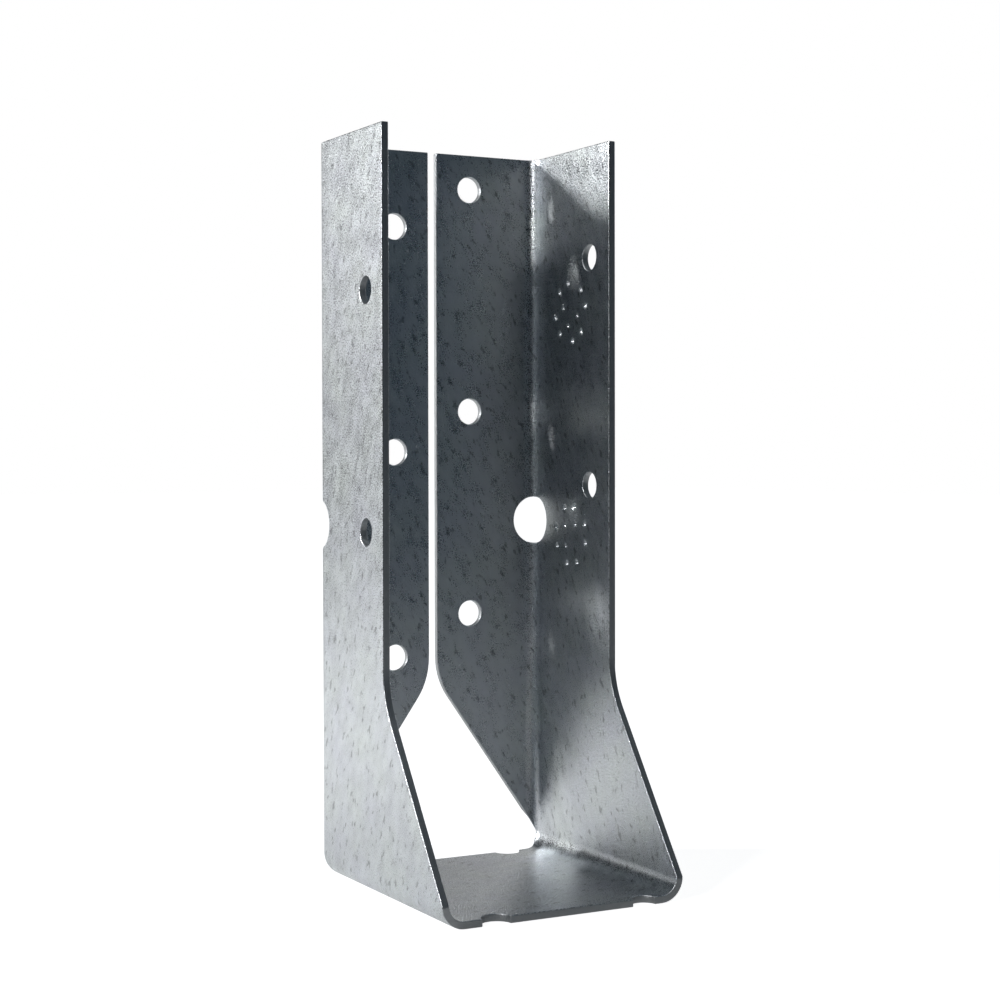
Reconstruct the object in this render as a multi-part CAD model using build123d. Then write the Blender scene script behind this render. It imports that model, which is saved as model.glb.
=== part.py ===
from build123d import *
import os
from math import cos, pi, radians, sin, sqrt

# A joist hanger for a nominal two-inch joist, folded from one galvanised sheet.
# X runs across the joist, +Y points to the header that the hanger is nailed to, +Z is up.
# The origin is under the middle of the hanger, on the surface that its seat stands on.

# Sheet and overall sizes, in millimetres
sheet = 1.2
inner_width = 39.8
height = 121.3
base_depth = 46.4
top_depth = 26.2
seat_setback = 4.7
seat_bend_radius = 2.6
rear_bend_radius = 2.2
bend_neutral_share = 0.45

# The two flanges, folded inwards behind the joist, and the window under them
flange_gap = 1.6
window_top = 31.3
window_foot = 7.3
window_top_round = 12.0
window_corner_round = 5.6
window_corner_angle = 55.0
window_corner_share = 0.68

# The sides flare forwards from here down to the seat
flare_top = 32.0
flare_round = 14.0

# Nail holes: the left set is punched lower, so that nails from both sides miss each other
nail_hole_diameter = 4.4
header_hole_offset = 7.1
header_hole_top = 5.9
header_hole_pitches = (38.1, 34.9)
joist_hole_setback = 19.9
joist_hole_top = 18.5
joist_hole_pitch = 38.1
left_hole_drop = 7.0

# Round holes punched through the flat blank where the rear bends run
bend_hole_diameter = 8.1
bend_hole_height = 58.4

# Half-round gauge notches in the front and rear edges of the seat
front_notch_radius_left = 2.35
front_notch_radius_right = 1.95
front_notch_inset_left = 9.1
front_notch_inset_right = 7.2
rear_notch_radius = 2.25
rear_notch_inset = 8.7

# Two stamps of shallow dimples on the inner face of the right side, each turned its own way:
# a ring of four pairs, and inside it three corners of a small square
stamp_setback = 13.7
stamp_heights = (94.1, 56.1)
stamp_turns = (153.0, 265.0)
ring_radius = 5.0
ring_pairs = 4
pair_angle = 37.0
ring_dimple_diameter = 1.1
ring_dimple_depth = 0.4
corner_radius = 2.5
corner_dimples = 3
corner_dimple_diameter = 0.75
corner_dimple_depth = 0.28
dimple_tip_diameter = 0.25

# How far a cutter runs past the metal, how finely a bend is stepped, and how near counts as on a corner
past = 1.0
bend_steps = 6
near = 0.01

# Sizes that follow from the ones above
half_width = inner_width / 2 + sheet
inner_half = inner_width / 2
rear = base_depth / 2
front = -base_depth / 2
side_front = rear - top_depth
seat_rear = rear - seat_setback
seat_bend_outer = seat_bend_radius + sheet
rear_bend_outer = rear_bend_radius + sheet
rear_bend_neutral = rear_bend_radius + bend_neutral_share * sheet
bend_axis_x = inner_half - rear_bend_radius
bend_axis_y = rear - rear_bend_outer
window_slope = (window_top - window_foot) / (bend_axis_x - flange_gap / 2)
through = sheet + 2 * past


def rounded_tray(half, rear_y, floor_z, seat_radius, rear_radius, front_y, top_z):
    """A block with its lower and rear edges rounded: the outside or the inside of the folded sheet."""
    block = Box(2 * half, rear_y - front_y, top_z - floor_z, align=(Align.CENTER, Align.MIN, Align.MIN))
    block = Pos(0, front_y, floor_z) * block
    lower_sides = block.edges().filter_by(Axis.Y).group_by(Axis.Z)[0]
    block = fillet(lower_sides, seat_radius)
    rear_upright = block.edges().filter_by(Axis.Z).group_by(Axis.Y)[-1]
    return fillet(rear_upright, rear_radius)


def folded_sheet():
    """Seat, sides and rear wall, one sheet thick, bent at the seat and at the rear corners."""
    outside = rounded_tray(half_width, rear, 0, seat_bend_outer, rear_bend_outer, front, height)
    inside = rounded_tray(
        inner_half, rear - sheet, sheet, seat_bend_radius, rear_bend_radius, front - past, height + past
    )
    return outside - inside


def side_waste():
    """What is sheared from the front of both sides: straight above, flared towards the seat."""
    outline = Polyline(
        (front, seat_bend_outer),
        (side_front, flare_top),
        (side_front, height + past),
        (front - past, height + past),
        (front - past, seat_bend_outer),
        close=True,
    )
    face = make_face(outline)
    knee = [v for v in face.vertices() if abs(v.X - side_front) < near and abs(v.Y - flare_top) < near]
    face = fillet(knee, flare_round)
    return extrude(Plane.YZ * face, amount=half_width + past, both=True)


def bend_cut(side, stations):
    """A cutter that follows the rear bend: each station is an angle from the flange, a low and a high."""
    reach = rear_bend_outer + past
    sections = []
    for angle, low, high in stations:
        outward = Vector(side * sin(angle), cos(angle), 0)
        axis_point = Vector(side * bend_axis_x, bend_axis_y, (low + high) / 2)
        along = outward.cross(Vector(0, 0, 1))
        plane = Plane(origin=axis_point + outward * (reach / 2), x_dir=outward, z_dir=along)
        sections.append(plane * Rectangle(reach, high - low))
    return loft(sections, ruled=True)


def rear_window():
    """The gap between the flanges and the window under them, cut as in the flat blank."""
    half_gap = flange_gap / 2
    outline = Polyline(
        (half_gap, height + past),
        (half_gap, window_top),
        (bend_axis_x, window_foot),
        (bend_axis_x, -past),
        (-bend_axis_x, -past),
        (-bend_axis_x, window_foot),
        (-half_gap, window_top),
        (-half_gap, height + past),
        close=True,
    )
    face = make_face(outline)
    shoulders = [v for v in face.vertices() if abs(v.Y - window_top) < near]
    face = fillet(shoulders, window_top_round)
    return Pos(0, rear + past, 0) * extrude(Plane.XZ * face, amount=rear_bend_outer + past)


def window_corner(side):
    """The lower corner of the window, where its slanting edge runs round the rear bend into the seat."""
    last = radians(window_corner_angle)
    stations = []
    for i in range(bend_steps + 1):
        angle = last * i / bend_steps
        stations.append((angle, -past, window_foot - window_slope * rear_bend_neutral * angle))

    def on_last(radius):
        return Vector(side * (bend_axis_x + radius * sin(last)), bend_axis_y + radius * cos(last))

    # The seat's rear edge turns by an arc into the last radial cut of the bend
    corner = on_last(rear_bend_radius * window_corner_share)
    rise = corner.Y - seat_rear
    run = sqrt(2 * window_corner_round * rise - rise**2)
    start = Vector(corner.X - side * run, seat_rear)
    outer = on_last(rear_bend_outer + past)
    edges = [
        Line((0, seat_rear), start),
        TangentArc(start, corner, tangent=(side, 0)),
        Line(corner, outer),
        Line(outer, (outer.X, rear + past)),
        Line((outer.X, rear + past), (0, rear + past)),
        Line((0, rear + past), (0, seat_rear)),
    ]
    last_high = stations[-1][2]
    seat_edge = Pos(0, 0, -past) * extrude(make_face(edges), amount=last_high + past, dir=(0, 0, 1))
    return [bend_cut(side, stations), seat_edge]


def bend_hole(side):
    """A round hole of the flat blank that ends up wrapped round the rear bend."""
    radius = bend_hole_diameter / 2
    half_arc = rear_bend_neutral * pi / 4
    stations = []
    for i in range(bend_steps + 1):
        angle = pi / 2 * i / bend_steps
        half_height = sqrt(radius**2 - (rear_bend_neutral * (angle - pi / 4)) ** 2)
        stations.append((angle, bend_hole_height - half_height, bend_hole_height + half_height))

    # The parts of the circle that stay flat, in the flange and in the side, are cut straight through
    punch = Cylinder(radius, through)
    beyond = Box(2 * radius, 2 * radius, 2 * radius + past)
    flange_point = Pos(side * (bend_axis_x + half_arc), rear - sheet / 2, bend_hole_height)
    in_flange = flange_point * Rot(90, 0, 0) * punch
    in_flange -= Pos(side * (bend_axis_x + radius), rear, bend_hole_height) * beyond
    side_point = Pos(side * (half_width - sheet / 2), bend_axis_y + half_arc, bend_hole_height)
    in_side = side_point * Rot(0, 90, 0) * punch
    in_side -= Pos(side * half_width, bend_axis_y + radius, bend_hole_height) * beyond
    return [bend_cut(side, stations), in_flange, in_side]


def header_holes(side):
    """Three nail holes through one flange."""
    drop = left_hole_drop if side < 0 else 0
    heights = [height - header_hole_top - drop]
    for pitch in header_hole_pitches:
        heights.append(heights[-1] - pitch)
    punch = Rot(90, 0, 0) * Cylinder(nail_hole_diameter / 2, through)
    return [Pos(side * header_hole_offset, rear - sheet / 2, z) * punch for z in heights]


def joist_holes(side):
    """Two nail holes through one side."""
    drop = left_hole_drop if side < 0 else 0
    top = height - joist_hole_top - drop
    punch = Rot(0, 90, 0) * Cylinder(nail_hole_diameter / 2, through)
    middle = side * (half_width - sheet / 2)
    return [Pos(middle, rear - joist_hole_setback, z) * punch for z in (top, top - joist_hole_pitch)]


def seat_notches():
    """Half-round notches, two in each edge of the seat."""
    places = [
        (-half_width + front_notch_inset_left, front, front_notch_radius_left),
        (half_width - front_notch_inset_right, front, front_notch_radius_right),
        (-half_width + rear_notch_inset, seat_rear, rear_notch_radius),
        (half_width - rear_notch_inset, seat_rear, rear_notch_radius),
    ]
    return [Pos(x, y, sheet / 2) * Cylinder(radius, through) for x, y, radius in places]


def dimple(diameter, depth):
    """A shallow cone, pressed across the sheet with its mouth on the inner face."""
    mouth_first = (Align.CENTER, Align.CENTER, Align.MIN)
    return Rot(0, 90, 0) * Cone(diameter / 2, dimple_tip_diameter / 2, depth, align=mouth_first)


def dimple_stamps():
    """Two stamps of dimples: a ring of pairs, and corners of a square that lie between the pairs."""
    ring_dimple = dimple(ring_dimple_diameter, ring_dimple_depth)
    corner_dimple = dimple(corner_dimple_diameter, corner_dimple_depth)
    spacing = 360 / ring_pairs
    dimples = []
    for level, turn in zip(stamp_heights, stamp_turns):
        centre = Pos(inner_half, rear - stamp_setback, level)
        for i in range(ring_pairs):
            for angle in (spacing * i - pair_angle / 2, spacing * i + pair_angle / 2):
                dimples.append(centre * Rot(turn + angle, 0, 0) * Pos(0, ring_radius, 0) * ring_dimple)
        for i in range(corner_dimples):
            angle = spacing * i + spacing / 2
            dimples.append(centre * Rot(turn + angle, 0, 0) * Pos(0, corner_radius, 0) * corner_dimple)
    return dimples


cutters = [side_waste(), rear_window()]
for hand in (-1, 1):
    cutters.extend(window_corner(hand))
    cutters.extend(bend_hole(hand))
    cutters.extend(header_holes(hand))
    cutters.extend(joist_holes(hand))
cutters.extend(seat_notches())
cutters.extend(dimple_stamps())

hanger = folded_sheet()
for cutter in cutters:
    hanger = hanger - cutter

os.makedirs("parts", exist_ok=True)
export_step(hanger, "parts/joist_hanger.step")
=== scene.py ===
import math

import bpy
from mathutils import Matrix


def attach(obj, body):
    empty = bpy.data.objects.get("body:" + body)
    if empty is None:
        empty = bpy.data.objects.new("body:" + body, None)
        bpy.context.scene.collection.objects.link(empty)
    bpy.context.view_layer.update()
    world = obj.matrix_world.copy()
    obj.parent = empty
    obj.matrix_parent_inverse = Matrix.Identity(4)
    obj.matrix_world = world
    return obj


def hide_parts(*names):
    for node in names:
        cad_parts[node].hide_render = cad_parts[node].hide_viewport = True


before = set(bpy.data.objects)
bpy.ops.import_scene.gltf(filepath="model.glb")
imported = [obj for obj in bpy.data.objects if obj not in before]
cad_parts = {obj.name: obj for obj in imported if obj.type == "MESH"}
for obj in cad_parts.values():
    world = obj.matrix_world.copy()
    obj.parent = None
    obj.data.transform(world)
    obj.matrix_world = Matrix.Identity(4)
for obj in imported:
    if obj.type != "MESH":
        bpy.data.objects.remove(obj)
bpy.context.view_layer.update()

# The hanger is one sheet of mild steel, galvanised in the mill, then punched flat and folded.
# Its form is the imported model's. Shearing rolls the metal over a little along every cut edge,
# and that small rounding draws the bright line round the sheet.
MM = 0.001
same_point = 0.001 * MM
flat_angle = math.radians(0.5)
crease_angle = math.radians(35)
cut_edge_angle = math.radians(60)
cut_edge_round = 0.16 * MM

cad_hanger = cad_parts["joist_hanger"]
hanger = bpy.data.objects.new("folded_sheet", cad_hanger.data.copy())
bpy.context.collection.objects.link(hanger)
bpy.ops.object.select_all(action="DESELECT")
hanger.select_set(True)
bpy.context.view_layer.objects.active = hanger

bpy.ops.object.mode_set(mode="EDIT")
bpy.ops.mesh.select_mode(type="EDGE")
bpy.ops.mesh.select_all(action="SELECT")
bpy.ops.mesh.remove_doubles(threshold=same_point)
bpy.ops.mesh.dissolve_limited(angle_limit=flat_angle)
bpy.ops.mesh.select_all(action="DESELECT")
bpy.ops.mesh.edges_select_sharp(sharpness=cut_edge_angle)
bpy.ops.mesh.bevel(offset=cut_edge_round, segments=3, affect="EDGES", clamp_overlap=False)

# The punch that pressed the dimples drew the metal down round their mouths. A mouth is an edge
# that lies in the side's inner face and folds away from it into the dimple.
inner_face = 19.9 * MM
mouth_round = 0.32 * MM
mouth_angles = (math.radians(35), math.radians(50))
bpy.ops.mesh.select_all(action="DESELECT")
bpy.ops.object.mode_set(mode="OBJECT")
beside = {}
for face in hanger.data.polygons:
    for key in face.edge_keys:
        beside.setdefault(key, []).append(face.normal)
for mouth in hanger.data.edges:
    ends = [hanger.data.vertices[i].co.x for i in mouth.vertices]
    faces = beside[mouth.key]
    if max(abs(x - inner_face) for x in ends) < 2 * same_point and len(faces) == 2:
        mouth.select = mouth_angles[0] < faces[0].angle(faces[1]) < mouth_angles[1]
bpy.ops.object.mode_set(mode="EDIT")
bpy.ops.mesh.bevel(offset=mouth_round, segments=4, affect="EDGES", clamp_overlap=False)
bpy.ops.object.mode_set(mode="OBJECT")
bpy.ops.object.shade_smooth_by_angle(angle=crease_angle)
bpy.ops.object.modifier_add(type="WEIGHTED_NORMAL")
hanger.modifiers["WeightedNormal"].keep_sharp = True
bpy.ops.object.modifier_apply(modifier="WeightedNormal")

# The mill's grain runs along the coil, so it runs up the sides and flanges and across the seat.
# Each point of the mesh gets its place on the flat blank, in millimetres, as its UV, and the way
# out through the sheet there tells the rolled skin from the sheared edges.
sheet = 1.2
width, rear = 42.2, 23.2
seat_bend, rear_bend = 3.8, 3.4
to_neutral = 0.55 * sheet
seat_axis = width / 2 - seat_bend
rear_axis = width / 2 - rear_bend
rear_start = rear - rear_bend


def on_blank(point):
    """Along and across the blank in millimetres, and the direction out through the sheet."""
    x, y, z = (c / MM for c in point)
    hand = 1 if x > 0 else -1
    along, across, out = abs(x), y, (0, 0, -1)
    if abs(x) > seat_axis and z < seat_bend:
        turn = math.atan2(abs(x) - seat_axis, seat_bend - z)
        along = seat_axis + (seat_bend - to_neutral) * turn
        out = (hand * math.sin(turn), 0, -math.cos(turn))
    elif z >= seat_bend:
        along = seat_axis + (seat_bend - to_neutral) * math.pi / 2 + z - seat_bend
        out = (hand, 0, 0)
        if y > rear_start and abs(x) > rear_axis:
            turn = math.atan2(y - rear_start, abs(x) - rear_axis)
            across = rear_start + (rear_bend - to_neutral) * turn
            out = (hand * math.cos(turn), math.sin(turn), 0)
        elif y > rear_start:
            across = rear_start + (rear_bend - to_neutral) * math.pi / 2 + rear_axis - abs(x)
            out = (0, 1, 0)
    return hand * along, across, out


mesh = hanger.data
blank = mesh.uv_layers.new(name="blank")
for loop in mesh.loops:
    blank.data[loop.index].uv = on_blank(mesh.vertices[loop.vertex_index].co)[:2]


def linear(code):
    """An sRGB hex code as the linear colour that a node takes."""
    parts = [int(code[i : i + 2], 16) / 255 for i in (0, 2, 4)]
    return [c / 12.92 if c <= 0.04045 else ((c + 0.055) / 1.055) ** 2.4 for c in parts] + [1.0]


def add(tree, kind, settings=(), **inputs):
    """A node with its settings, and its inputs by name or, after an underscore, by number."""
    node = tree.nodes.new(kind)
    for name, value in dict(settings).items():
        setattr(node, name, value)
    for name, value in inputs.items():
        socket = node.inputs[int(name[1:])] if name[0] == "_" else node.inputs[name.replace("_", " ")]
        if isinstance(value, bpy.types.NodeSocket):
            tree.links.new(value, socket)
        else:
            socket.default_value = value
    return node


# Hot-dip galvanised steel, skin-passed in the mill: a cool grey zinc that shines softly, with a
# fine grain that sparkles under a lamp, and small dark pits drawn out along the coil. Every
# pattern lies on the flat blank, whose UV is in millimetres.
zinc = bpy.data.materials.new("hot-dip galvanised steel")
zinc.use_nodes = True
tree = zinc.node_tree
skin = tree.nodes["Principled BSDF"]
skin.inputs["Metallic"].default_value = 1.0
place = add(tree, "ShaderNodeUVMap", {"uv_map": "blank"}).outputs["UV"]
flat = {"noise_dimensions": "2D"}
times = {"operation": "MULTIPLY"}
coloured = {"data_type": "RGBA"}

# The grain of the rolls, a quarter of a millimetre fine, on broader and fainter hammered dents
grain_mm, grain_relief = 0.25, 0.04 * MM
hammer_mm, hammer_relief = 0.9, 0.02 * MM
grain = add(tree, "ShaderNodeTexNoise", flat, Vector=place, Scale=1 / grain_mm, Detail=1.5)
hammer = add(tree, "ShaderNodeTexNoise", flat, Vector=place, Scale=1 / hammer_mm, Detail=1.0)
dented = add(tree, "ShaderNodeBump", Strength=1.0, Distance=hammer_relief, Height=hammer.outputs["Fac"])
grained = add(
    tree, "ShaderNodeBump", Strength=1.0, Distance=grain_relief, Height=grain.outputs["Fac"],
    Normal=dented.outputs["Normal"],
)
tree.links.new(grained.outputs["Normal"], skin.inputs["Normal"])

# The folding tool pressed the flanges smoother than the sides, from the middle of the bend on
across = add(tree, "ShaderNodeSeparateXYZ", Vector=place).outputs["Y"]
pressed = add(
    tree, "ShaderNodeMapRange", Value=across, From_Min=21.0, From_Max=25.0, To_Min=1.0, To_Max=0.25
)
points = add(tree, "ShaderNodeMix", Factor=pressed.outputs[0], A=0.5, B=grain.outputs["Fac"])

# The rolls drew a cloudy mottle out, almost twice as long as wide and off the coil's direction
mottle_mm = 2.0
drawn = add(
    tree, "ShaderNodeMapping", {"vector_type": "TEXTURE"}, Vector=place,
    Rotation=(0, 0, math.radians(27)), Scale=(1.9, 1, 1),
).outputs[0]
mottle = add(tree, "ShaderNodeTexNoise", flat, Vector=drawn, Scale=1 / mottle_mm, Detail=4.0)
tone = add(
    tree, "ShaderNodeMapRange", Value=mottle.outputs["Fac"],
    From_Min=0.3, From_Max=0.7, To_Min=0.93, To_Max=1.06,
)

# The points and, less strongly, the mottle shine brighter or duller
uneven = add(
    tree, "ShaderNodeMath", {"operation": "MULTIPLY_ADD"},
    _0=mottle.outputs["Fac"], _1=0.25, _2=points.outputs[0],
)
dull = add(
    tree, "ShaderNodeMapRange", Value=uneven.outputs[0],
    From_Min=0.42, From_Max=0.82, To_Min=0.18, To_Max=0.41,
)
tree.links.new(dull.outputs[0], skin.inputs["Roughness"])

# Small pits, where the zinc ran thin: the lowest spots of a finer cloud drawn out the same way
pit_mm = 1.0
pits = add(tree, "ShaderNodeTexNoise", flat, Vector=drawn, Scale=1 / pit_mm, Detail=1.5)
pit = add(
    tree, "ShaderNodeMapRange", Value=pits.outputs["Fac"],
    From_Min=0.25, From_Max=0.35, To_Min=0.62, To_Max=1.0,
)

# The zinc's cool grey drifts a little towards blue and green in blooms of a centimetre
bloom_mm = 9.0
bloom = add(tree, "ShaderNodeTexNoise", flat, Vector=place, Scale=1 / bloom_mm, Detail=3.0)
tint = add(
    tree, "ShaderNodeMix", coloured, Factor=bloom.outputs["Fac"],
    _6=linear("D9DBE4"), _7=linear("DEE4E1"),
)
speck = add(
    tree, "ShaderNodeMapRange", Value=points.outputs[0],
    From_Min=0.3, From_Max=0.7, To_Min=1.0, To_Max=1.02,
)
shade = add(tree, "ShaderNodeMath", times, _0=pit.outputs[0], _1=tone.outputs[0])
shade = add(tree, "ShaderNodeMath", times, _0=shade.outputs[0], _1=speck.outputs[0])
colour = add(
    tree, "ShaderNodeVectorMath", {"operation": "SCALE"}, _0=tint.outputs[2], Scale=shade.outputs[0]
)
tree.links.new(colour.outputs[0], skin.inputs["Base Color"])

# The sheared edges: bare steel torn by the punch, darker and rougher, with fine marks across it.
tear_mm, tear_relief = 0.35, 0.09 * MM
sheared = bpy.data.materials.new("sheared mild steel")
sheared.use_nodes = True
tree = sheared.node_tree
edge = tree.nodes["Principled BSDF"]
edge.inputs["Metallic"].default_value = 1.0
edge.inputs["Base Color"].default_value = linear("B0B3B5")
edge.inputs["Roughness"].default_value = 0.45
place = add(tree, "ShaderNodeTexCoord").outputs["Object"]
tear = add(tree, "ShaderNodeTexNoise", Vector=place, Scale=1 / (tear_mm * MM), Detail=3.0)
torn = add(tree, "ShaderNodeBump", Strength=1.0, Distance=tear_relief, Height=tear.outputs["Fac"])
tree.links.new(torn.outputs["Normal"], edge.inputs["Normal"])

# A face that looks along the sheet, not out of it, was sheared
along_sheet = 0.3
mesh.materials.clear()
mesh.materials.append(zinc)
mesh.materials.append(sheared)
for face in mesh.polygons:
    out = on_blank(face.center)[2]
    if abs(sum(a * b for a, b in zip(face.normal, out))) < along_sheet:
        face.material_index = 1

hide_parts("joist_hanger")
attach(hanger, "root")

# A sheet of white paper under the hanger. It runs far out behind and ends a little in front.
paper_side, paper_front, paper_rear = 2.0, -0.13, 3.0
bpy.ops.mesh.primitive_plane_add(size=2.0)
floor = bpy.context.object
floor.name = "floor"
for vertex in floor.data.vertices:
    vertex.co.x *= paper_side
    vertex.co.y = paper_front if vertex.co.y < 0 else paper_rear
paper = bpy.data.materials.new("white paper")
paper.use_nodes = True
tree = paper.node_tree
matt = tree.nodes["Principled BSDF"]
matt.inputs["Base Color"].default_value = linear("C4C4C4")
matt.inputs["Roughness"].default_value = 0.9
matt.inputs["Specular IOR Level"].default_value = 0.0
place = add(tree, "ShaderNodeTexCoord").outputs["Object"]
dot = {"operation": "DOT_PRODUCT"}
greater = {"operation": "MAXIMUM"}

# Painted glow: the paper emits light that only the zinc's mirror sees, a painted pool of light
# brightest just behind the hanger and fading half a metre away
path = add(tree, "ShaderNodeLightPath")
mirrored = add(
    tree, "ShaderNodeMath", greater,
    _0=path.outputs["Is Glossy Ray"], _1=path.outputs["Is Transmission Ray"],
)
behind = add(tree, "ShaderNodeVectorMath", dot, _0=place, _1=(0.4, 0.92, 0.0))
lit_end = add(
    tree, "ShaderNodeMapRange", Value=behind.outputs["Value"],
    From_Min=-0.03, From_Max=0.1, To_Min=0.12, To_Max=0.5,
)
distance = add(tree, "ShaderNodeVectorMath", {"operation": "LENGTH"}, _0=place)
far = add(
    tree, "ShaderNodeMapRange", Value=distance.outputs["Value"],
    From_Min=0.12, From_Max=0.5, To_Min=1.0, To_Max=0.5,
)
painted_mirror_glow = add(tree, "ShaderNodeMath", times, _0=lit_end.outputs[0], _1=far.outputs[0])
painted_mirror_glow = add(tree, "ShaderNodeMath", times, _0=mirrored.outputs[0], _1=painted_mirror_glow.outputs[0])

# The camera sees it nearly white, so that the hanger's shadow stays
pale = add(
    tree, "ShaderNodeMapRange", Value=distance.outputs["Value"],
    From_Min=0.1, From_Max=0.8, To_Min=0.92, To_Max=1.0,
)
direct = add(tree, "ShaderNodeMath", times, _0=path.outputs["Is Camera Ray"], _1=pale.outputs[0])
glow = add(tree, "ShaderNodeMath", greater, _0=painted_mirror_glow.outputs[0], _1=direct.outputs[0])
white = add(tree, "ShaderNodeEmission", Strength=glow.outputs[0])
both = add(tree, "ShaderNodeAddShader", _0=matt.outputs[0], _1=white.outputs[0])
tree.links.new(both.outputs[0], tree.nodes["Material Output"].inputs["Surface"])
floor.data.materials.append(paper)

# The room is pale behind the hanger, dim overhead and dark in front. The camera sees it white.
room = bpy.data.worlds.new("room")
bpy.context.scene.world = room
room.use_nodes = True
tree = room.node_tree
soft = {"interpolation_type": "SMOOTHSTEP"}
looking = add(tree, "ShaderNodeTexCoord").outputs["Generated"]
height = add(tree, "ShaderNodeSeparateXYZ", Vector=looking).outputs["Z"]

# A white wall stands at the rear right, up to 25 degrees over the horizon
to_wall = add(tree, "ShaderNodeVectorMath", dot, _0=looking, _1=(0.9, 0.44, 0.0))
wall_sides = add(
    tree, "ShaderNodeMapRange", soft, Value=to_wall.outputs["Value"],
    From_Min=0.55, From_Max=1.0, To_Min=0.0, To_Max=1.0,
)
wall_top = add(
    tree, "ShaderNodeMapRange", soft, Value=height,
    From_Min=0.28, From_Max=0.45, To_Min=1.0, To_Max=0.0,
)
wall = add(tree, "ShaderNodeMath", times, _0=wall_sides.outputs[0], _1=wall_top.outputs[0])

# To the left of it only a low pale band shows, a little over the floor
to_band = add(tree, "ShaderNodeVectorMath", dot, _0=looking, _1=(-0.5, 0.87, 0.0))
band_sides = add(
    tree, "ShaderNodeMapRange", soft, Value=to_band.outputs["Value"],
    From_Min=0.5, From_Max=0.9, To_Min=0.0, To_Max=0.62,
)
band_foot = add(
    tree, "ShaderNodeMapRange", soft, Value=height,
    From_Min=-0.02, From_Max=0.12, To_Min=0.25, To_Max=1.0,
)
band_top = add(
    tree, "ShaderNodeMapRange", soft, Value=height,
    From_Min=0.12, From_Max=0.22, To_Min=1.0, To_Max=0.0,
)
band = add(tree, "ShaderNodeMath", times, _0=band_sides.outputs[0], _1=band_foot.outputs[0])
band = add(tree, "ShaderNodeMath", times, _0=band.outputs[0], _1=band_top.outputs[0])

# A white screen hangs high up on the left, and shines out of the dimples
to_screen = add(tree, "ShaderNodeVectorMath", dot, _0=looking, _1=(-0.52, 0.09, 0.85))
screen = add(
    tree, "ShaderNodeMapRange", soft, Value=to_screen.outputs["Value"],
    From_Min=0.79, From_Max=0.88, To_Min=0.0, To_Max=1.0,
)

# Elsewhere the room is dark, and dim overhead. A grey wall at the front right lights the flanges
up = add(
    tree, "ShaderNodeMapRange", soft, Value=height,
    From_Min=0.5, From_Max=0.9, To_Min=0.0, To_Max=1.0,
)
dark = add(
    tree, "ShaderNodeMix", coloured, Factor=up.outputs[0], _6=linear("1A2025"), _7=linear("6A7278")
)
to_side = add(tree, "ShaderNodeVectorMath", dot, _0=looking, _1=(0.45, -0.89, 0.0))
side = add(
    tree, "ShaderNodeMapRange", soft, Value=to_side.outputs["Value"],
    From_Min=0.6, From_Max=0.98, To_Min=0.0, To_Max=1.0,
)
dim = add(
    tree, "ShaderNodeMix", coloured, Factor=side.outputs[0], _6=dark.outputs[2], _7=linear("363F47")
)

# The white parts show in the zinc's mirror only, and the camera sees white everywhere
path = add(tree, "ShaderNodeLightPath")
mirrored = add(
    tree, "ShaderNodeMath", greater,
    _0=path.outputs["Is Glossy Ray"], _1=path.outputs["Is Transmission Ray"],
)
backdrop = add(tree, "ShaderNodeMath", greater, _0=wall.outputs[0], _1=band.outputs[0])
backdrop = add(tree, "ShaderNodeMath", greater, _0=backdrop.outputs[0], _1=screen.outputs[0])
backdrop = add(tree, "ShaderNodeMath", times, _0=mirrored.outputs[0], _1=backdrop.outputs[0])
shown = add(
    tree, "ShaderNodeMath", greater, _0=path.outputs["Is Camera Ray"], _1=backdrop.outputs[0]
)
lit = add(
    tree, "ShaderNodeMix", coloured, Factor=shown.outputs[0], _6=dim.outputs[2], _7=linear("FFFFFF")
)
tree.links.new(lit.outputs[2], tree.nodes["Background"].inputs["Color"])


def lamp(name, place, aim, wide, tall, power):
    """A soft lamp at a place, turned towards a point."""
    bpy.ops.object.light_add(type="AREA", location=place)
    light = bpy.context.object
    light.name = name
    light.data.shape = "ELLIPSE"
    light.data.size = wide
    light.data.size_y = tall
    light.data.energy = power
    turn = [a - b for a, b in zip(place, aim)]
    tilt = math.atan2(math.hypot(turn[0], turn[1]), turn[2])
    light.rotation_euler = (tilt, 0, math.atan2(turn[1], turn[0]) + math.pi / 2)


# The key lamp stands behind on the left and shines through the holes onto the right side. The
# front lamp lights the inside of the fold. Both are small, so that the grain sparkles.
middle = (0, 0, 0.06)
lamp("key lamp", place=(-0.475, 0.265, 0.246), aim=middle, wide=0.06, tall=0.06, power=2.95)
lamp("front lamp", place=(-0.734, -0.318, 0.437), aim=middle, wide=0.10, tall=0.08, power=1.8)

# The camera stands in front, to the left of the hanger and just above its middle.
pitch, roll, bearing = 1.393, 0.101, 28.309
bpy.ops.object.camera_add(
    location=(-0.14766, -0.27629, 0.07018),
    rotation=(math.radians(90 - pitch), math.radians(roll), math.radians(-bearing)),
)
camera = bpy.context.object
camera.name = "camera"
camera.data.sensor_width = 36
camera.data.lens = 69.99
camera.data.clip_start = 0.01
bpy.context.scene.camera = camera
bpy.context.scene.view_settings.view_transform = "Standard"
